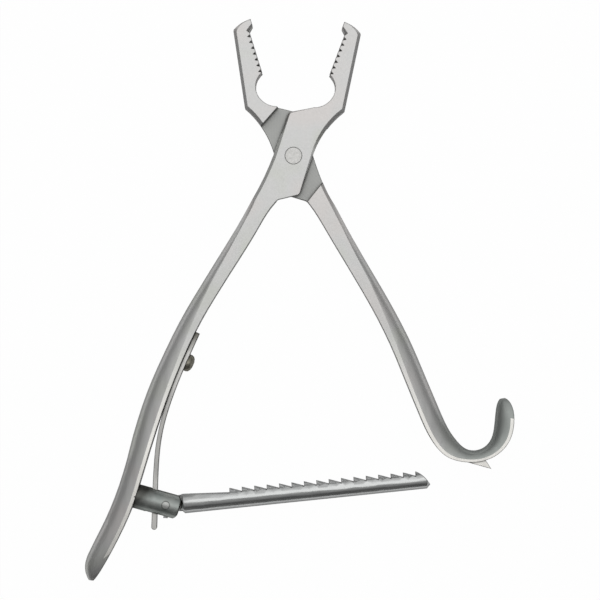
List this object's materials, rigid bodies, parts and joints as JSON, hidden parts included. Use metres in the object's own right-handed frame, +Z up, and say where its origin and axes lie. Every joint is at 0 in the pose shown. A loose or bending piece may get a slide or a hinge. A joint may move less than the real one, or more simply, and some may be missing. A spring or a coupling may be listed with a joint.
{
  "type": "bone holding forceps",
  "caption": "Hinged bone holding forceps with toothed, hook-tipped jaws, long curved grips, a finger hook, and a swinging ratchet bar that locks the grips when squeezed.",
  "frame": {"origin": "on the axis of the joint pin, in the plane the forceps lies on", "axes": "+Y towards the jaws, +Z up out of the broad face, +X towards the finger hook's side"},
  "size_m": [0.1835, 0.2396, 0.011],
  "materials": {
    "lever_steel": "satin glass-bead finish",
    "pin_steel": "dressed flush, satin",
    "socket_steel": "turned, darkened by brazing",
    "bar_steel": "turned and brightly brushed",
    "spring_steel": "ground strip",
    "screw_steel": "dark tempered"
  },
  "bodies": {
    "front": {"front_lever": "lever_steel", "joint_pin": "pin_steel", "ratchet_socket": "socket_steel", "ratchet_pivot_pin": "pin_steel", "leaf_spring": "spring_steel", "spring_screw": "screw_steel"},
    "rear": {"rear_lever": "lever_steel"},
    "bar": {"ratchet_bar": "bar_steel"}
  },
  "joints": [
    {"name": "jaw_hinge", "type": "hinge", "parent": "front", "child": "rear", "pos_m": [0, 0, 0.0055], "axis": [0, 0, -1], "range_deg": [-5, 37]},
    {"name": "bar_hinge", "type": "hinge", "parent": "front", "child": "bar", "pos_m": [-0.0545, -0.149, 0.0055], "axis": [0, 0, -1], "range_deg": [-4, 26]}
  ],
  "couplings": [
    {"joint": "bar_hinge", "follows": "jaw_hinge", "ratio": 0.68}
  ]
}
